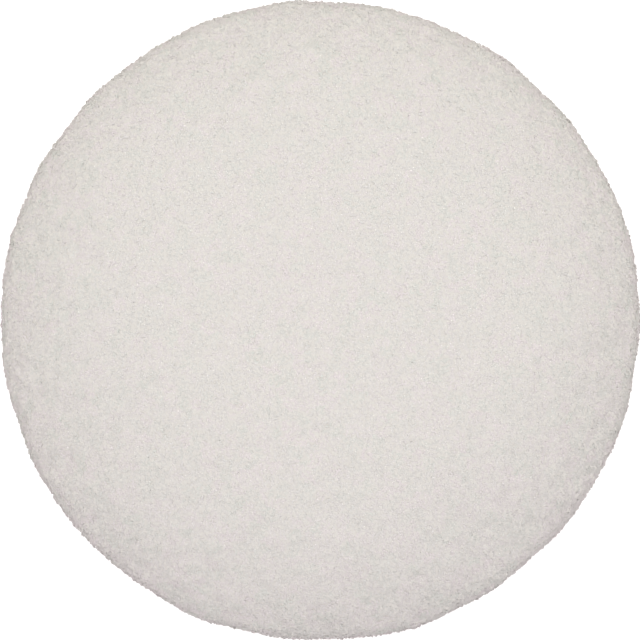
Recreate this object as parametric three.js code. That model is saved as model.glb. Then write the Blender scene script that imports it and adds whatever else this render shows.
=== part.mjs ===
// A round throw pillow in off-white looped-pile cloth, lying on its back.
// Millimetres, +Z up. The origin is on the surface that carries it, under the middle of its outline.
// Two round panels are sewn together at the rim and filled, so the pillow is one soft solid: a crowned
// face, a drawn-in seam with small gathers round the rim, and a back pressed flat where it lies.
import * as THREE from "three";

// Driving dimensions, over the tips of the pile
const DIAMETER = 450;
const THICKNESS = 130;

// Section: a flat under the back, a flank up to the seam, and the crowned face above it
const REST_RADIUS = 125;
const SEAM_HEIGHT = 60;
const FLANK_POWER = 2.2; // superellipse powers: 2 is an ellipse, more is flatter with a fuller rim
const CROWN_POWER = 2.35;

// Rim seam: how deep its crease draws the cloth in, and how far from it that shows
const SEAM_DEPTH = 3.6;
const SEAM_REACH = 5;

// Gathers: two runs of waves that beat against each other, so no two gathers are alike
const GATHER_DEPTH = 2.2;
const GATHER_REACH = 17;
const GATHER_RUNS = [
  { count: 19, share: 0.55, turn: 0 },
  { count: 26, share: 0.45, turn: 40 },
];

// Where the filling pushes the rim out: at an angle from +X, over a spread to each side, both in degrees
const BULGE_REACH = 36;
const RIM_BULGES = [
  { at: 15, spread: 13, out: 1.3 },
  { at: 54, spread: 6, out: 0.6 },
  { at: 103, spread: 9, out: 0.9 },
  { at: 162, spread: 7, out: 0.6 },
  { at: 216, spread: 8, out: 1.0 },
  { at: 248, spread: 10, out: 1.8 },
  { at: 287, spread: 11, out: 1.8 },
  { at: 336, spread: 10, out: 0.4 },
];

// Where the filling lies thin under the face: at an angle and a radius, over a spread in millimetres
const HOLLOW_FADE = 30; // height above the seam over which a hollow comes in
const FACE_HOLLOWS = [
  { at: 309, radius: 184, spread: 36, depth: 2.4 },
  { at: 205, radius: 170, spread: 46, depth: 1.6 },
  { at: 128, radius: 150, spread: 52, depth: 1.3 },
  { at: 28, radius: 160, spread: 44, depth: 1.4 },
  { at: 258, radius: 120, spread: 48, depth: 1.2 },
];

// Fineness of the faceted surface
const SEGMENTS = 144;
const FLANK_STEPS = 12;
const CROWN_STEPS = 17;
const STEP_EASING = 1.6; // above 1, the steps crowd towards the seam

// Cover cloth
const COVER_COLOUR = 0xe2ddd8;
const COVER_ROUGHNESS = 0.95;

// A soft bump that is 1 at its middle and fades out over the reach.
function fade(distance, reach) {
  return Math.exp(-((distance / reach) ** 2));
}

// The shorter way round between two angles, in degrees.
function angleBetween(a, b) {
  return Math.abs(THREE.MathUtils.euclideanModulo(a - b + 180, 360) - 180);
}

// A quarter superellipse as { along, up } shares, from (1, 0) at the seam to (0, 1), crowded at the seam.
function quarter(steps, power) {
  return Array.from({ length: steps + 1 }, (_, i) => {
    const turn = (Math.PI / 2) * (i / steps) ** STEP_EASING;
    return {
      along: i === steps ? 0 : Math.cos(turn) ** (2 / power),
      up: Math.sin(turn) ** (2 / power),
    };
  });
}

// The half section, from the middle of the back round the rim to the middle of the face.
function halfSection() {
  const rim = DIAMETER / 2;
  const flank = quarter(FLANK_STEPS, FLANK_POWER).map(
    ({ along, up }) =>
      new THREE.Vector2(REST_RADIUS + (rim - REST_RADIUS) * along, SEAM_HEIGHT * (1 - up)),
  );
  const crown = quarter(CROWN_STEPS, CROWN_POWER).map(
    ({ along, up }) => new THREE.Vector2(rim * along, SEAM_HEIGHT + (THICKNESS - SEAM_HEIGHT) * up),
  );
  const middle = [new THREE.Vector2(0, 0), new THREE.Vector2(REST_RADIUS / 2, 0)];
  return [...middle, ...flank.reverse(), ...crown.slice(1)];
}

// How far the rim stands in or out at an angle, at a height measured from the seam.
function rimShift(angle, fromSeam) {
  const gathers = GATHER_RUNS.reduce(
    (sum, { count, share, turn }) =>
      sum + share * Math.cos(THREE.MathUtils.degToRad(count * angle + turn)),
    0,
  );
  const bulges = RIM_BULGES.reduce(
    (sum, { at, spread, out }) => sum + out * fade(angleBetween(angle, at), spread),
    0,
  );
  return (
    bulges * fade(fromSeam, BULGE_REACH) +
    (gathers - 1) * (GATHER_DEPTH / 2) * fade(fromSeam, GATHER_REACH) -
    SEAM_DEPTH * Math.exp(-Math.abs(fromSeam) / SEAM_REACH)
  );
}

// How deep the face sinks at a point in plan.
function hollowDepth(x, y) {
  return FACE_HOLLOWS.reduce((sum, { at, radius, spread, depth }) => {
    const turn = THREE.MathUtils.degToRad(at);
    const away = Math.hypot(x - radius * Math.cos(turn), y - radius * Math.sin(turn));
    return sum + depth * fade(away, spread);
  }, 0);
}

// Gives the turned shape its seam, gathers, bulges and hollows.
function makeUneven(geometry) {
  const points = geometry.getAttribute("position");
  for (let i = 0; i < points.count; i++) {
    const [x, y, z] = [points.getX(i), points.getY(i), points.getZ(i)];
    const fromSeam = z - SEAM_HEIGHT;
    const angle = THREE.MathUtils.radToDeg(Math.atan2(y, x));
    const grow = 1 + rimShift(angle, fromSeam) / (DIAMETER / 2);
    const onFace = THREE.MathUtils.clamp(fromSeam / HOLLOW_FADE, 0, 1);
    points.setXYZ(i, x * grow, y * grow, z - onFace * hollowDepth(x, y));
  }
}

// Brings the outline to its full diameter, with its middle over the origin.
function fitToSize(geometry) {
  geometry.computeBoundingBox();
  const { min, max } = geometry.boundingBox;
  const scale = DIAMETER / Math.max(max.x - min.x, max.y - min.y);
  geometry.translate(-(min.x + max.x) / 2, -(min.y + max.y) / 2, 0);
  geometry.scale(scale, scale, 1);
}

function makeCushion() {
  const geometry = new THREE.LatheGeometry(halfSection(), SEGMENTS);
  geometry.rotateX(Math.PI / 2);
  makeUneven(geometry);
  fitToSize(geometry);
  geometry.computeVertexNormals();
  const cover = new THREE.MeshStandardMaterial({
    color: COVER_COLOUR,
    roughness: COVER_ROUGHNESS,
    metalness: 0,
  });
  const cushion = new THREE.Mesh(geometry, cover);
  cushion.name = "cushion";
  return cushion;
}

const pillow = new THREE.Group();
pillow.name = "round_throw_pillow";
pillow.add(makeCushion());

export default pillow;
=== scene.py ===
"""Looks for a round throw pillow in off-white looped-pile cloth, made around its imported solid.

The cover is filled by a cloth simulation, and the pile lies over it as thousands of small curls of yarn.
Metres, +Z up. The pillow lies on its back, and +Y is the top of the picture.
"""

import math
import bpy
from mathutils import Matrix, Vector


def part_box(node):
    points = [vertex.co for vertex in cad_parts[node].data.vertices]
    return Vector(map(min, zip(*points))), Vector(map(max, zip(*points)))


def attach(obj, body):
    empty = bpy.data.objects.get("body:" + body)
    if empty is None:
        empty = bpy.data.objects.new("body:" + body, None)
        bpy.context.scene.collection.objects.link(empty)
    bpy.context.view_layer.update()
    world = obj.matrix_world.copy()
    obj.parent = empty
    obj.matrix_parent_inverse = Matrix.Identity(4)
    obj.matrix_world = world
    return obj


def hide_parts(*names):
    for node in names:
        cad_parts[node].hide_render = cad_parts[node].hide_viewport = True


bl_info = {
    "name": "Round Throw Pillow",
    "version": (1, 0, 0),
    "blender": (4, 5, 0),
    "location": "View3D > Sidebar > Pillow",
    "description": "Builds a round throw pillow with a filled cover and a curly looped pile",
    "category": "Object",
}

import bpy
import numpy as np
from mathutils.kdtree import KDTree

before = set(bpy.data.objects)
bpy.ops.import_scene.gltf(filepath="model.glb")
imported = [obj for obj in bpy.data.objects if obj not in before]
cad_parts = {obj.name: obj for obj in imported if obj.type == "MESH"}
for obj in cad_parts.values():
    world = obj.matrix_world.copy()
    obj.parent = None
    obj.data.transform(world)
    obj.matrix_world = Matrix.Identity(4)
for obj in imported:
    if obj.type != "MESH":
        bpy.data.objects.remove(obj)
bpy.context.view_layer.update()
REST_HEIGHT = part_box("cushion")[0].z

BODY = "root"
COVER_NAME = "pillow_cover"
MM = 0.001
TINY = 1e-12  # least length that anything is divided by

# Filling the cover
MERGE_DISTANCE = 0.01 * MM
FILL_FRAMES = 20
SUBDIVISIONS = 1

# Spreading the pile over the cover
SEED = 4500
CANDIDATES_PER_CURL = 9  # random places tried for each curl that finds room
FULLEST_PACKING = 0.7  # most places a square of the spacing holds when they are spread at random
PRESSED_BAND = 1.5 * MM  # height over which the cover turns from its pressed back into its flank
CURLS_PER_PIECE = 10500

# Shaping the curls
CURL_RINGS = 3  # rings of points round a curl's yarn, between its two pointed ends
YARN_SIDES = 3
RADIUS_SPREAD = 0.4  # how much wider or narrower than usual a curl may be, as a share
RISE_SPREAD = 0.3  # how much higher or lower than usual a curl may stand, as a share
WIDTH_SPREAD = 0.3  # how much wider or narrower than usual a curl's yarn may be, as a share
STEEPEST_TILT = 0.35  # slope of the curls that lean most
LEAST_LOOSE = 0.4  # rise of the least loose curls, as a share of the loosest ones'
END_WIDTH = 0.6  # width that the yarn tapers to at a curl's ends, as a share of its middle's

# Colouring the yarn
TUFT_SHARE = 0.85  # how much of a curl's own colour its whole tuft has
TWISTS = (3, 6)  # fewest and most turns of the yarn's twist along a curl
CELL_MARGIN = 0.08  # share of a curl's cell on the bake map that stays empty

# Colour sockets of a Mix node, which share their names with its sockets for other data
MIX_FIRST = 6
MIX_SECOND = 7
MIX_RESULT = 2

FLOOR_SIZE = 8


def to_linear(hex_colour):
    """An sRGB hex colour as linear red, green and blue."""
    parts = [int(hex_colour[i : i + 2], 16) / 255 for i in (1, 3, 5)]
    return [p / 12.92 if p <= 0.04045 else ((p + 0.055) / 1.055) ** 2.4 for p in parts]


class PillowCover(bpy.types.PropertyGroup):
    """Sizes of the filled cover under the pile."""

    pile_height: bpy.props.FloatProperty(
        name="Pile Height",
        description="How far the cloth lies under the tips of the pile",
        default=1.3 * MM,
        unit="LENGTH",
    )
    rest_gap: bpy.props.FloatProperty(
        name="Pressed Pile",
        description="How far the cloth stays off the surface that the pillow lies on",
        default=1.9 * MM,
        unit="LENGTH",
    )
    cell: bpy.props.FloatProperty(
        name="Cloth Cell",
        description="Size of the cloth's cells in the simulation",
        default=6 * MM,
        unit="LENGTH",
    )
    pressure: bpy.props.FloatProperty(
        name="Filling Pressure",
        description="Pressure of the filling against the cloth",
        default=4.0,
        subtype="UNSIGNED",
    )
    swell: bpy.props.FloatProperty(
        name="Swell",
        description="How far the filling may push a point of the cloth",
        default=3.0 * MM,
        unit="LENGTH",
    )
    clump_size: bpy.props.FloatProperty(
        name="Clump Size",
        description="Width of the small clumps that the pile lies in",
        default=8 * MM,
        unit="LENGTH",
    )
    clump_rise: bpy.props.FloatProperty(
        name="Clump Rise",
        description="Height from the lowest to the highest clumps",
        default=1.4 * MM,
        unit="LENGTH",
    )
    seam_height: bpy.props.FloatProperty(
        name="Seam Height",
        description="Height of the seam round the rim",
        default=60 * MM,
        unit="LENGTH",
    )
    seam_depth: bpy.props.FloatProperty(
        name="Seam Depth",
        description="How deep the seam draws the cloth in",
        default=1.0 * MM,
        unit="LENGTH",
    )
    seam_reach: bpy.props.FloatProperty(
        name="Seam Reach",
        description="How far from the seam its crease shows",
        default=4 * MM,
        unit="LENGTH",
    )
    seam_hold: bpy.props.FloatProperty(
        name="Seam Hold",
        description="How far from the seam the sewing keeps the cloth from swelling",
        default=16 * MM,
        unit="LENGTH",
    )


class PillowPile(bpy.types.PropertyGroup):
    """Sizes of the curls of the pile and of the tufts that they stand in."""

    face_spacing: bpy.props.FloatProperty(
        name="Face Spacing",
        description="Least distance between curls on the face",
        default=2.0 * MM,
        unit="LENGTH",
    )
    flank_spacing: bpy.props.FloatProperty(
        name="Flank Spacing",
        description="Least distance between curls from the seam down to where the pillow lies",
        default=2.3 * MM,
        unit="LENGTH",
    )
    under_spacing: bpy.props.FloatProperty(
        name="Underside Spacing",
        description="Least distance between curls where the pillow lies",
        default=3.2 * MM,
        unit="LENGTH",
    )
    tuft_spacing: bpy.props.FloatProperty(
        name="Tuft Spacing",
        description="Least distance between the tufts that the curls stand in",
        default=6 * MM,
        unit="LENGTH",
    )
    tuft_rise: bpy.props.FloatProperty(
        name="Tuft Rise",
        description="How much higher the curls stand inside a tuft than between two",
        default=0.65 * MM,
        unit="LENGTH",
    )
    tuft_edge: bpy.props.FloatProperty(
        name="Tuft Edge",
        description="How far in from a tuft's edge its curls reach their full height",
        default=0.7 * MM,
        unit="LENGTH",
    )
    yarn_radius: bpy.props.FloatProperty(
        name="Yarn Radius",
        description="Half the width of the yarn",
        default=1.25 * MM,
        unit="LENGTH",
    )
    yarn_height: bpy.props.FloatProperty(
        name="Yarn Height",
        description="How high the yarn's upper side stands, where a round yarn's is 1",
        default=0.52,
        subtype="FACTOR",
    )
    yarn_depth: bpy.props.FloatProperty(
        name="Yarn Depth",
        description="How deep the yarn's lower side reaches into the cloth, where a round yarn's is 1",
        default=1.5,
        subtype="UNSIGNED",
    )
    curl_radius: bpy.props.FloatProperty(
        name="Curl Radius",
        description="Radius of a curl, seen from above",
        default=1.35 * MM,
        unit="LENGTH",
    )
    sweep_least: bpy.props.FloatProperty(
        name="Least Sweep",
        description="How far round the openest curls go",
        default=math.radians(180),
        subtype="ANGLE",
    )
    sweep_most: bpy.props.FloatProperty(
        name="Most Sweep",
        description="How far round the tightest curls go",
        default=math.radians(330),
        subtype="ANGLE",
    )
    curl_rise: bpy.props.FloatProperty(
        name="Curl Rise",
        description="How far the middle of a curl's yarn stands off the cloth between two tufts",
        default=0.1 * MM,
        unit="LENGTH",
    )
    curl_sink: bpy.props.FloatProperty(
        name="Curl Sink",
        description="How far the ends of a curl go into the cloth",
        default=0.3 * MM,
        unit="LENGTH",
    )
    # Painted shade at the yarn's roots, where it goes into the cloth: how soon it gives way to the full
    # colour.
    root_shade_fade: bpy.props.FloatProperty(
        name="Root Fade",
        description="How soon the yarn takes its full colour on the way up from its root",
        default=2.0,
        subtype="UNSIGNED",
    )
    shade_range: bpy.props.FloatProperty(
        name="Shade Range",
        description="How far the darkest curls are from the tips' colour towards the roots', from 0 to 1",
        default=0.15,
        subtype="FACTOR",
    )
    loose_share: bpy.props.FloatProperty(
        name="Loose Share",
        description="Share of the curls that stand proud of the rest",
        default=0.1,
        subtype="FACTOR",
    )
    loose_rise: bpy.props.FloatProperty(
        name="Loose Rise",
        description="How far the loosest curls stand proud of the rest",
        default=0.8 * MM,
        unit="LENGTH",
    )
    loose_yarn: bpy.props.FloatProperty(
        name="Loose Yarn",
        description="Width of the loose curls' yarn, as a share of the others'",
        default=0.6,
        subtype="FACTOR",
    )
    # Painted highlight: the loose curls that stand proud are painted lighter than the tips.
    loose_painted_highlight: bpy.props.FloatProperty(
        name="Loose Light",
        description="How light the loose curls are, where 0 is the roots' colour and 1 the tips'",
        default=1.3,
        subtype="UNSIGNED",
    )
    softness: bpy.props.FloatProperty(
        name="Softness",
        description="How far loose fibres even out the shading round the yarn, from 0 to 1",
        default=0.94,
        subtype="FACTOR",
    )


class PillowColours(bpy.types.PropertyGroup):
    """Colours of the yarn and the cloth that it grows from."""

    yarn_cream: bpy.props.FloatVectorProperty(
        name="Yarn, Cream",
        description="The creamiest curls",
        subtype="COLOR",
        default=to_linear("#eeeee8"),
    )
    yarn_rose: bpy.props.FloatVectorProperty(
        name="Yarn, Rose",
        description="The pinkest curls",
        subtype="COLOR",
        default=to_linear("#f7efef"),
    )
    # Painted shade: the yarn is painted towards this deeper colour at its roots, where it goes into the
    # cloth; the tufts' random tone also runs towards it.
    yarn_deep_tone_and_root_shade: bpy.props.FloatVectorProperty(
        name="Yarn, Root",
        description="Yarn where it leaves the cloth",
        subtype="COLOR",
        default=to_linear("#e8e2de"),
    )
    # Painted shade: the cloth is a shade deeper than the yarn, as the shade that falls between the curls.
    ground: bpy.props.FloatVectorProperty(
        name="Ground Cloth",
        description="Knitted cloth under the pile",
        subtype="COLOR",
        default=to_linear("#dcd6d1"),
    )


class PillowStage(bpy.types.PropertyGroup):
    """The floor, the lights and the camera."""

    floor_colour: bpy.props.FloatVectorProperty(
        name="Floor",
        description="Colour of the floor",
        subtype="COLOR",
        default=to_linear("#f8f7f7"),
    )
    floor_glow: bpy.props.FloatProperty(
        name="Floor Glow",
        description="How much light the floor gives off by itself",
        default=0.4,
        subtype="UNSIGNED",
    )
    glow_colour: bpy.props.FloatVectorProperty(
        name="Glow Colour",
        description="Colour of the light that the floor gives off",
        subtype="COLOR",
        default=(1.0, 0.99, 0.99),
    )
    key_colour: bpy.props.FloatVectorProperty(
        name="Key Colour",
        description="Colour of the large soft light above",
        subtype="COLOR",
        default=(0.94, 0.98, 1.0),
    )
    key_power: bpy.props.FloatProperty(
        name="Key Power",
        description="Power of the large soft light above",
        default=70.0,
        unit="POWER",
    )
    key_size: bpy.props.FloatProperty(
        name="Key Size",
        description="Width of the large soft light",
        default=2.9,
        unit="LENGTH",
    )
    key_tilt: bpy.props.FloatProperty(
        name="Key Tilt",
        description="How far the light leans from straight above towards the top of the picture",
        default=math.radians(8),
        subtype="ANGLE",
    )
    key_distance: bpy.props.FloatProperty(
        name="Key Distance",
        description="Distance from the pillow to the large soft light",
        default=4.0,
        unit="LENGTH",
    )
    ambient: bpy.props.FloatProperty(
        name="Ambient",
        description="Brightness of the light from all round",
        default=0.625,
        subtype="UNSIGNED",
    )
    ambient_top: bpy.props.FloatVectorProperty(
        name="Ambient, Top",
        description="Colour of the light from the top of the picture",
        subtype="COLOR",
        default=(1.0, 0.945, 0.83),
    )
    ambient_bottom: bpy.props.FloatVectorProperty(
        name="Ambient, Bottom",
        description="Colour of the light from the bottom of the picture",
        subtype="COLOR",
        default=(0.944, 0.885, 0.945),
    )
    lens: bpy.props.FloatProperty(
        name="Lens",
        description="Focal length of the camera on a 36 mm sensor",
        default=100.0,
        unit="CAMERA",
    )
    camera_offset: bpy.props.FloatVectorProperty(
        name="Camera Offset",
        description="How far the camera stands to the side of the pillow's middle",
        size=2,
        default=(-0.6 * MM, 0.0),
        unit="LENGTH",
    )
    camera_distance: bpy.props.FloatProperty(
        name="Camera Distance",
        description="Distance from the camera to the plane of the rim",
        default=1.2513,
        unit="LENGTH",
    )


def select_only(piece):
    """Makes a piece the only selected and active object."""
    bpy.ops.object.select_all(action="DESELECT")
    piece.select_set(True)
    bpy.context.view_layer.objects.active = piece


def coordinates(mesh):
    """The mesh's points as an array."""
    values = np.empty(len(mesh.vertices) * 3)
    mesh.vertices.foreach_get("co", values)
    return values.reshape(-1, 3)


def set_coordinates(mesh, points):
    """Moves the mesh's points to an array of places."""
    mesh.vertices.foreach_set("co", np.asarray(points, dtype=np.float32).ravel())
    mesh.update()


def normals(mesh):
    """The mesh's outward directions at its points."""
    values = np.empty(len(mesh.vertices) * 3)
    mesh.vertex_normals.foreach_get("vector", values)
    return values.reshape(-1, 3)


def unit(vectors):
    """Vectors brought to length one."""
    return vectors / np.maximum(np.linalg.norm(vectors, axis=-1, keepdims=True), TINY)


def varied(rng, spread, shape):
    """Random factors round one, up to the spread above or below it."""
    return rng.uniform(1 - spread, 1 + spread, shape)


def add_node(tree, kind, inputs=(), **settings):
    """Adds a node with its settings; each input takes a value, or a socket that is linked to it."""
    node = tree.nodes.new(kind)
    for name, value in settings.items():
        setattr(node, name, value)
    for name, value in dict(inputs).items():
        if isinstance(value, bpy.types.NodeSocket):
            tree.links.new(value, node.inputs[name])
        else:
            node.inputs[name].default_value = value
    return node


def mix_colours(tree, factor, first, second, **settings):
    """The socket of a mix between two colours."""
    inputs = {"Factor": factor, MIX_FIRST: first, MIX_SECOND: second}
    node = add_node(tree, "ShaderNodeMix", data_type="RGBA", inputs=inputs, **settings)
    return node.outputs[MIX_RESULT]


def new_material(name):
    """An empty node material and its tree."""
    material = bpy.data.materials.new(name)
    material.use_nodes = True
    material.node_tree.nodes.clear()
    return material, material.node_tree


def opaque(colour):
    """A colour with full alpha, as colour sockets take it."""
    return (*colour, 1.0)


def add_fibre_surface(tree, colour, relief):
    """Gives a material the matt and slightly fuzzy surface that the yarn and the cloth share."""
    surface = add_node(
        tree,
        "ShaderNodeBsdfPrincipled",
        inputs={
            "Base Color": colour,
            "Roughness": 0.95,
            "IOR": 1.5,
            "Specular IOR Level": 0.2,
            "Sheen Weight": 0.05,
            "Sheen Roughness": 0.6,
            "Normal": relief.outputs["Normal"],
        },
    )
    add_node(tree, "ShaderNodeOutputMaterial", inputs={"Surface": surface.outputs["BSDF"]})


def make_yarn_material(colours):
    """Looped yarn spun from crimped polyester fibre, matt and slightly fuzzy.

    The eye sees off-white curls that differ a little in tint, from cream to the faintest pink, each with
    painted shade deepening it towards its root where it goes into the cloth, with the faint slanting lines of
    its twist and a soft bloom of loose fibre ends at grazing angles. The loose curls that stand proud are
    painted lighter, as a painted highlight.
    """
    material, tree = new_material("crimped_polyester_yarn")
    tint = add_node(tree, "ShaderNodeAttribute", attribute_name="tint")
    light = add_node(tree, "ShaderNodeAttribute", attribute_name="light")
    twist = add_node(tree, "ShaderNodeAttribute", attribute_name="twist")
    turns = add_node(
        tree,
        "ShaderNodeMath",
        operation="MULTIPLY",
        inputs={0: twist.outputs["Fac"], 1: 2 * math.pi},
    )
    ply = add_node(tree, "ShaderNodeMath", operation="SINE", inputs={0: turns.outputs[0]})
    tip = mix_colours(
        tree, tint.outputs["Fac"], opaque(colours.yarn_cream), opaque(colours.yarn_rose)
    )
    # Painted shade deepens the yarn towards its roots, and the loose curls go past the tips' colour as a
    # painted highlight.
    colour = mix_colours(
        tree, light.outputs["Fac"], opaque(colours.yarn_deep_tone_and_root_shade), tip, clamp_factor=False
    )
    relief = add_node(
        tree,
        "ShaderNodeBump",
        inputs={"Strength": 0.3, "Distance": 0.1 * MM, "Height": ply.outputs[0]},
    )
    add_fibre_surface(tree, colour, relief)
    return material


def make_ground_material(colours):
    """Knitted ground cloth, of the same polyester as the pile, seen only between the curls.

    The eye sees an off-white painted a shade deeper than the yarn, as painted shade between the curls, with a
    small nap, a little uneven from place to place.
    """
    material, tree = new_material("knitted_ground_cloth")
    place = add_node(tree, "ShaderNodeTexCoord")
    nap_size = 1.6 * MM
    nap = add_node(
        tree,
        "ShaderNodeTexNoise",
        inputs={"Vector": place.outputs["Object"], "Scale": 1 / nap_size, "Detail": 2.0},
    )
    # The cloth's deeper colour is painted shade between the curls; the nap mixes it with the yarn's cream.
    colour = mix_colours(
        tree, nap.outputs["Fac"], opaque(colours.ground), opaque(colours.yarn_cream)
    )
    relief = add_node(
        tree,
        "ShaderNodeBump",
        inputs={"Strength": 0.5, "Distance": 0.6 * MM, "Height": nap.outputs["Fac"]},
    )
    add_fibre_surface(tree, colour, relief)
    return material


def make_floor_material(stage):
    """White acrylic sheet lit a little from behind, as on a light table, so no hard shadow shows on it."""
    material, tree = new_material("white_acrylic_sheet")
    surface = add_node(
        tree,
        "ShaderNodeBsdfPrincipled",
        inputs={
            "Base Color": opaque(stage.floor_colour),
            "Roughness": 0.9,
            "Specular IOR Level": 0.1,
            "Emission Color": opaque(stage.glow_colour),
            "Emission Strength": stage.floor_glow,
        },
    )
    add_node(tree, "ShaderNodeOutputMaterial", inputs={"Surface": surface.outputs["BSDF"]})
    return material


def held_by_seam(points, cover):
    """How firmly the sewing holds each point of the cloth: 1 at the seam, 0 well away from it."""
    return np.exp(-(((points[:, 2] - cover.seam_height) / cover.seam_hold) ** 2))


def fill_by_simulation(piece, cover):
    """Blows the cloth up against its seam and keeps each point within the swell."""
    start = coordinates(piece.data)
    group = piece.vertex_groups.new(name="seam")
    for index, weight in enumerate(held_by_seam(start, cover)):
        group.add([index], float(weight), "REPLACE")
    filling = piece.modifiers.new("Filling", "CLOTH")
    filling.settings.use_pressure = True
    filling.settings.uniform_pressure_force = cover.pressure
    filling.settings.effector_weights.gravity = 0
    filling.settings.vertex_group_mass = group.name
    filling.point_cache.frame_start = 1
    filling.point_cache.frame_end = FILL_FRAMES
    scene = bpy.context.scene
    for step in range(1, FILL_FRAMES + 1):
        scene.frame_set(step)
    bpy.ops.object.modifier_apply(modifier=filling.name)
    scene.frame_set(1)
    piece.vertex_groups.clear()
    moved = coordinates(piece.data) - start
    far = np.linalg.norm(moved, axis=1, keepdims=True)
    limit = np.minimum(1, cover.swell / np.maximum(far, TINY))
    set_coordinates(piece.data, start + moved * limit)


class PILLOW_OT_make_cover(bpy.types.Operator):
    """Make the filled cover that the pile grows from"""

    bl_idname = "pillow.make_cover"
    bl_label = "Make Cover"

    def execute(self, context):
        cover = context.scene.pillow_cover
        piece = bpy.data.objects.new(COVER_NAME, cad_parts["cushion"].data.copy())
        context.scene.collection.objects.link(piece)
        piece.data.materials.clear()
        select_only(piece)
        bpy.ops.object.mode_set(mode="EDIT")
        bpy.ops.mesh.select_all(action="SELECT")
        bpy.ops.mesh.remove_doubles(threshold=MERGE_DISTANCE)
        bpy.ops.object.mode_set(mode="OBJECT")

        # The cloth starts under the pile, and smaller by the swell where the seam doesn't hold it.
        points = coordinates(piece.data)
        swell = cover.swell
        sunk = cover.pile_height + swell * (1 - held_by_seam(points, cover))
        set_coordinates(piece.data, points - normals(piece.data) * sunk[:, None])
        piece.data.remesh_voxel_size = cover.cell
        bpy.ops.object.voxel_remesh()
        fill_by_simulation(piece, cover)

        smooth = piece.modifiers.new("Smooth", "SUBSURF")
        smooth.levels = SUBDIVISIONS
        smooth.render_levels = SUBDIVISIONS
        bpy.ops.object.modifier_apply(modifier=smooth.name)

        # The cloth lies a little higher and lower under the clumps of the pile.
        clumps = bpy.data.textures.new("pile_clumps", "CLOUDS")
        clumps.noise_scale = cover.clump_size
        clumps.noise_depth = 1
        uneven = piece.modifiers.new("Uneven", "DISPLACE")
        uneven.texture = clumps
        uneven.texture_coords = "LOCAL"
        uneven.strength = cover.clump_rise
        bpy.ops.object.modifier_apply(modifier=uneven.name)

        # The seam's crease is narrower than a cell of the simulation, so it is drawn in afterwards.
        points = coordinates(piece.data)
        from_seam = np.abs(points[:, 2] - cover.seam_height)
        out = np.hypot(points[:, 0], points[:, 1])
        crease = cover.seam_depth * np.exp(-from_seam / cover.seam_reach)
        points[:, :2] *= (1 - crease / np.maximum(out, MM))[:, None]
        points[:, 2] = np.maximum(points[:, 2], cover.rest_gap)
        set_coordinates(piece.data, points)
        piece.data.shade_smooth()
        piece.data.materials.append(make_ground_material(context.scene.pillow_colours))
        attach(piece, BODY)
        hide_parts("cushion")
        return {"FINISHED"}


def point_tree(places):
    """A tree that finds the places near a point."""
    tree = KDTree(len(places))
    for index, place in enumerate(places):
        tree.insert(place, index)
    tree.balance()
    return tree


def panel_places(mesh, spacing, low, high, rng):
    """Places spread evenly but at random over the cover between two heights, and their outward directions."""
    mesh.calc_loop_triangles()
    corners = np.empty(len(mesh.loop_triangles) * 3, dtype=np.int32)
    mesh.loop_triangles.foreach_get("vertices", corners)
    corners = corners.reshape(-1, 3)
    points = coordinates(mesh)
    outward = normals(mesh)
    height = points[corners][:, :, 2].mean(axis=1)
    corners = corners[(height >= low) & (height < high)]
    a, b, c = (points[corners[:, i]] for i in range(3))
    area = np.linalg.norm(np.cross(b - a, c - a), axis=1) / 2
    count = int(CANDIDATES_PER_CURL * FULLEST_PACKING * area.sum() / spacing**2)
    chosen = rng.choice(len(corners), size=count, p=area / area.sum())
    share = rng.random((count, 2))
    share[share.sum(axis=1) > 1] = 1 - share[share.sum(axis=1) > 1]
    weights = np.column_stack([1 - share.sum(axis=1), share])[:, :, None]
    places = (points[corners[chosen]] * weights).sum(axis=1)
    directions = unit((outward[corners[chosen]] * weights).sum(axis=1))
    tree = point_tree(places)
    free = np.ones(count, dtype=bool)
    kept = []
    for index, place in enumerate(places):
        if free[index]:
            kept.append(index)
            for _, near, _ in tree.find_range(place, spacing):
                free[near] = False
    return places[kept], directions[kept]


def tufts_of(places, centres, edge):
    """For each curl, the number of its tuft, and how far inside it stands: 0 at its edge, 1 well inside."""
    tree = point_tree(centres)
    number = np.empty(len(places), dtype=int)
    from_edge = np.empty(len(places))
    for index, place in enumerate(places):
        (_, number[index], near), (_, _, next_near) = tree.find_n(place, 2)
        from_edge[index] = (next_near - near) / 2
    inside = np.minimum(1, from_edge / edge)
    return number, inside * inside * (3 - 2 * inside)


def curl_paths(places, directions, inside, loose, pile, rng):
    """The middle line of each curl, a short arc that rises off the cloth, and how far up it each point is."""
    count = len(places)
    along = np.linspace(0, 1, CURL_RINGS + 2)[None, :]
    sweep = rng.uniform(pile.sweep_least, pile.sweep_most, (count, 1))
    sweep *= rng.choice([-1, 1], (count, 1))
    turn = sweep * (along - 0.5)
    radius = pile.curl_radius * varied(rng, RADIUS_SPREAD, (count, 1))
    x = radius * (np.cos(turn) - np.cos(turn).mean(axis=1, keepdims=True))
    y = radius * np.sin(turn)
    arch = np.sin(np.pi * along)
    rise = pile.curl_rise * varied(rng, RISE_SPREAD, (count, 1)) + pile.tuft_rise * inside[:, None]
    rise += pile.loose_rise * loose[:, None] * rng.uniform(LEAST_LOOSE, 1, (count, 1))
    tilt = rng.uniform(-STEEPEST_TILT, STEEPEST_TILT, (count, 1))
    z = (rise + pile.curl_sink) * arch - pile.curl_sink + tilt * x * arch
    heading = unit(np.cross(directions, rng.normal(size=(count, 3))))
    aside = np.cross(directions, heading)
    path = (
        places[:, None, :]
        + x[:, :, None] * heading[:, None, :]
        + y[:, :, None] * aside[:, None, :]
        + z[:, :, None] * directions[:, None, :]
    )
    return path, np.broadcast_to(arch, path.shape[:2])


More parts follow.
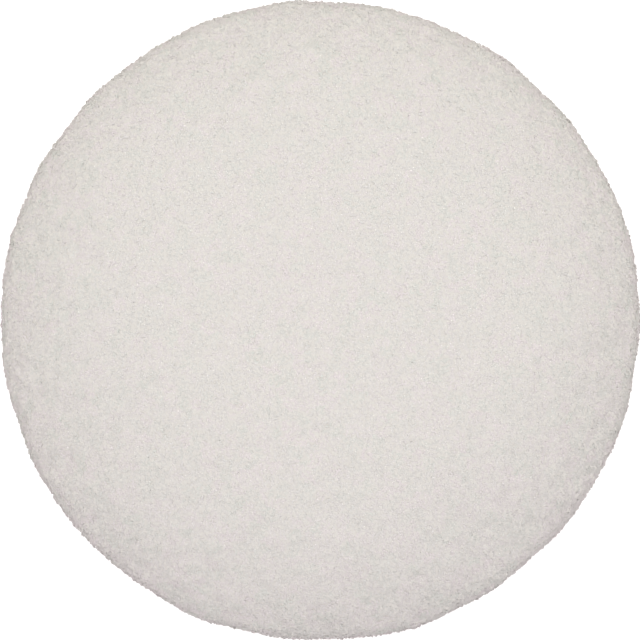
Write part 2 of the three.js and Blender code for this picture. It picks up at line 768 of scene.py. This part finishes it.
def yarn_points(path, directions, loose, pile, rng):
    """Points of the yarn round each curl's middle line, with the directions that shade it."""
    count = len(path)
    ahead = unit(np.gradient(path, axis=1))
    aside = unit(np.cross(ahead, directions[:, None, :]))
    up = np.cross(aside, ahead)[:, 1:-1, None, :]
    along = np.linspace(0, 1, CURL_RINGS + 2)[None, 1:-1]
    width = np.where(loose, pile.loose_yarn, 1) * varied(rng, WIDTH_SPREAD, count)
    half = pile.yarn_radius * width[:, None] * (END_WIDTH + (1 - END_WIDTH) * np.sin(np.pi * along))
    angle = np.pi / 2 + 2 * np.pi * np.arange(YARN_SIDES) / YARN_SIDES
    across = np.cos(angle)[:, None] * aside[:, 1:-1, None, :]
    spoke = across + np.sin(angle)[:, None] * up
    lift = np.sin(angle) * np.where(np.sin(angle) > 0, pile.yarn_height, pile.yarn_depth)
    section = across + lift[:, None] * up
    rings = path[:, 1:-1, None, :] + half[:, :, None, None] * section
    points = np.concatenate([path[:, :1], rings.reshape(count, -1, 3), path[:, -1:]], axis=1)
    ends = directions[:, None, :]
    shading = np.concatenate([ends, spoke.reshape(count, -1, 3), ends], axis=1)
    return points, unit((1 - pile.softness) * shading + pile.softness * ends)


def curl_looks(tuft, tuft_count, arch, loose, pile, rng):
    """Each curl's tint, how light each of its points is, and how many turns its yarn is twisted."""
    count = len(tuft)
    shade, tint = (
        TUFT_SHARE * rng.random(tuft_count)[tuft] + (1 - TUFT_SHARE) * rng.random(count)
        for _ in range(2)
    )
    # The loose curls, which stand proud, are painted lighter than the tips as a painted highlight; the rest
    # take their tuft's random tone.
    light = np.where(loose, pile.loose_painted_highlight, 1 - pile.shade_range * shade)[:, None]
    # Painted shade: each curl is painted darker towards its ends, where it goes into the cloth.
    rings = np.repeat(arch[:, 1:-1], YARN_SIDES, axis=1)
    up_the_yarn = np.concatenate([arch[:, :1], rings, arch[:, -1:]], axis=1)
    return {
        "tint": tint,
        "light": light * np.minimum(1, pile.root_shade_fade * up_the_yarn),
        "turns": np.round(rng.uniform(*TWISTS, count)),
    }


def curl_faces():
    """Corner numbers of one curl's faces, and where each corner lies on the curl's cell of the bake map.

    The faces of side 0 come first, then those of side 1, which lies towards the cloth.
    """
    corners = []
    cell = []
    last = 1 + CURL_RINGS * YARN_SIDES
    for side in range(YARN_SIDES):
        after = (side + 1) % YARN_SIDES
        low, high = side / YARN_SIDES, (side + 1) / YARN_SIDES
        corners.append([0, 1 + side, 1 + after])
        cell.append([(0, low), (1, low), (1, high)])
        for ring in range(CURL_RINGS - 1):
            here = 1 + ring * YARN_SIDES
            there = here + YARN_SIDES
            corners.append([here + side, there + side, there + after, here + after])
            cell.append([(ring + 1, low), (ring + 2, low), (ring + 2, high), (ring + 1, high)])
        here = last - YARN_SIDES
        corners.append([here + side, last, here + after])
        cell.append([(CURL_RINGS, low), (CURL_RINGS + 1, low), (CURL_RINGS, high)])
    length = CURL_RINGS + 1
    return corners, [[(along / length, around) for along, around in face] for face in cell]


def pile_piece(name, points, shading, looks, material):
    """One mesh of many curls, with the values that its material reads and its bake map."""
    count, per_curl, _ = points.shape
    corners, cell = curl_faces()
    face_sizes = np.tile([len(face) for face in corners], count)
    flat_corners = np.concatenate([np.array(face) for face in corners])
    flat_cell = np.concatenate([np.array(face) for face in cell])
    corner_index = (flat_corners[None, :] + per_curl * np.arange(count)[:, None]).ravel()

    # The side towards the cloth is shaded as one that faces it.
    per_side = len(flat_corners) // YARN_SIDES
    corner_shading = shading[:, flat_corners]
    corner_shading[:, per_side : 2 * per_side] = -shading[:, :1]

    mesh = bpy.data.meshes.new(name)
    mesh.vertices.add(count * per_curl)
    mesh.vertices.foreach_set("co", points.astype(np.float32).ravel())
    mesh.loops.add(len(corner_index))
    mesh.loops.foreach_set("vertex_index", corner_index.astype(np.int32))
    mesh.polygons.add(len(face_sizes))
    starts = np.concatenate([[0], np.cumsum(face_sizes)[:-1]])
    mesh.polygons.foreach_set("loop_start", starts.astype(np.int32))
    mesh.update(calc_edges=True)
    mesh.shade_smooth()
    mesh.normals_split_custom_set(corner_shading.reshape(-1, 3))

    # Each curl has its own square cell on the bake map.
    columns = math.ceil(math.sqrt(count))
    column = (np.arange(count) % columns)[:, None]
    row = (np.arange(count) // columns)[:, None]
    inside = CELL_MARGIN / 2 + (1 - CELL_MARGIN) * flat_cell
    across = (column + inside[None, :, 0]) / columns
    upward = (row + inside[None, :, 1]) / columns
    bake_map = mesh.uv_layers.new(name="OFBake")
    bake_map.data.foreach_set("uv", np.stack([across, upward], axis=-1).astype(np.float32).ravel())

    twist = looks["turns"][:, None] * flat_cell[None, :, 0] + flat_cell[None, :, 1]
    for label, domain, values in (
        ("tint", "POINT", np.repeat(looks["tint"], per_curl)),
        ("light", "POINT", looks["light"]),
        ("twist", "CORNER", twist),
    ):
        attribute = mesh.attributes.new(label, "FLOAT", domain)
        attribute.data.foreach_set("value", values.astype(np.float32).ravel())

    piece = bpy.data.objects.new(name, mesh)
    bpy.context.scene.collection.objects.link(piece)
    mesh.materials.append(material)
    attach(piece, BODY)


class PILLOW_OT_make_pile(bpy.types.Operator):
    """Lay the curly pile over both panels of the cover"""

    bl_idname = "pillow.make_pile"
    bl_label = "Make Pile"

    def execute(self, context):
        cover = context.scene.pillow_cover
        pile = context.scene.pillow_pile
        mesh = bpy.data.objects[COVER_NAME].data
        material = make_yarn_material(context.scene.pillow_colours)
        rng = np.random.default_rng(SEED)
        pressed = cover.rest_gap + PRESSED_BAND
        panels = (
            ("pile_face", pile.face_spacing, cover.seam_height, math.inf),
            ("pile_flank", pile.flank_spacing, pressed, cover.seam_height),
            ("pile_underside", pile.under_spacing, -math.inf, pressed),
        )
        for panel, spacing, low, high in panels:
            places, directions = panel_places(mesh, spacing, low, high, rng)
            centres, _ = panel_places(mesh, pile.tuft_spacing, low, high, rng)
            tuft, inside = tufts_of(places, centres, pile.tuft_edge)
            count = len(places)
            loose = rng.random(count) < pile.loose_share
            path, arch = curl_paths(places, directions, inside, loose, pile, rng)
            points, shading = yarn_points(path, directions, loose, pile, rng)
            points[..., 2] = np.maximum(points[..., 2], REST_HEIGHT)
            looks = curl_looks(tuft, len(centres), arch, loose, pile, rng)
            pieces = math.ceil(count / CURLS_PER_PIECE)
            print(panel, count, "curls in", len(centres), "tufts,", pieces, "pieces")
            for number, part in enumerate(np.array_split(np.arange(count), pieces), start=1):
                part_looks = {label: values[part] for label, values in looks.items()}
                pile_piece(f"{panel}_{number}", points[part], shading[part], part_looks, material)
        return {"FINISHED"}


def make_room(stage):
    """A world that lights the pillow softly from all round, with a tint that runs from bottom to top."""
    world = bpy.data.worlds.new("soft_room")
    world.use_nodes = True
    tree = world.node_tree
    tree.nodes.clear()
    place = add_node(tree, "ShaderNodeTexCoord")
    parts = add_node(tree, "ShaderNodeSeparateXYZ", inputs={"Vector": place.outputs["Generated"]})
    upward = add_node(
        tree,
        "ShaderNodeMapRange",
        inputs={"Value": parts.outputs["Y"], "From Min": -1.0},
    )
    tint = mix_colours(
        tree, upward.outputs["Result"], opaque(stage.ambient_bottom), opaque(stage.ambient_top)
    )
    sky = add_node(tree, "ShaderNodeBackground", inputs={"Color": tint, "Strength": stage.ambient})
    add_node(tree, "ShaderNodeOutputWorld", inputs={"Surface": sky.outputs["Background"]})
    return world


class PILLOW_OT_make_stage(bpy.types.Operator):
    """Set up the floor, the soft light and the camera straight above the face"""

    bl_idname = "pillow.make_stage"
    bl_label = "Make Stage"

    def execute(self, context):
        scene = context.scene
        stage = scene.pillow_stage
        bpy.ops.mesh.primitive_plane_add(size=FLOOR_SIZE, location=(0, 0, 0))
        floor = context.object
        floor.name = "floor"
        floor.data.materials.append(make_floor_material(stage))

        bpy.ops.object.light_add(
            type="AREA",
            location=(
                0,
                math.sin(stage.key_tilt) * stage.key_distance,
                math.cos(stage.key_tilt) * stage.key_distance,
            ),
            rotation=(-stage.key_tilt, 0, 0),
        )
        key = context.object
        key.name = "key_light"
        key.data.shape = "DISK"
        key.data.size = stage.key_size
        key.data.energy = stage.key_power
        key.data.color = stage.key_colour

        scene.world = make_room(stage)
        scene.view_settings.view_transform = "Standard"

        rim_plane = scene.pillow_cover.seam_height
        bpy.ops.object.camera_add(
            location=(*stage.camera_offset, rim_plane + stage.camera_distance),
            rotation=(0, 0, 0),
        )
        camera = context.object
        camera.name = "camera"
        camera.data.lens = stage.lens
        scene.camera = camera
        return {"FINISHED"}


class PILLOW_PT_sidebar(bpy.types.Panel):
    """The pillow's tools and sizes in the sidebar"""

    bl_idname = "PILLOW_PT_sidebar"
    bl_label = "Round Throw Pillow"
    bl_space_type = "VIEW_3D"
    bl_region_type = "UI"
    bl_category = "Pillow"

    def draw(self, context):
        layout = self.layout
        for operator in OPERATORS:
            layout.operator(operator.bl_idname)
        for name, group in GROUPS.items():
            box = layout.box()
            for field in group.__annotations__:
                box.prop(getattr(context.scene, name), field)


GROUPS = {
    "pillow_cover": PillowCover,
    "pillow_pile": PillowPile,
    "pillow_colours": PillowColours,
    "pillow_stage": PillowStage,
}
OPERATORS = (PILLOW_OT_make_cover, PILLOW_OT_make_pile, PILLOW_OT_make_stage)
CLASSES = (*GROUPS.values(), *OPERATORS, PILLOW_PT_sidebar)


def register():
    """Adds the classes and gives each scene its groups of sizes and colours."""
    for cls in CLASSES:
        bpy.utils.register_class(cls)
    for name, group in GROUPS.items():
        setattr(bpy.types.Scene, name, bpy.props.PointerProperty(type=group))


def unregister():
    """Takes the groups and classes away again."""
    for name in GROUPS:
        delattr(bpy.types.Scene, name)
    for cls in reversed(CLASSES):
        bpy.utils.unregister_class(cls)


def main():
    """Builds the pillow and its stage."""
    register()
    bpy.ops.pillow.make_cover()
    bpy.ops.pillow.make_pile()
    bpy.ops.pillow.make_stage()


if __name__ == "__main__":
    main()
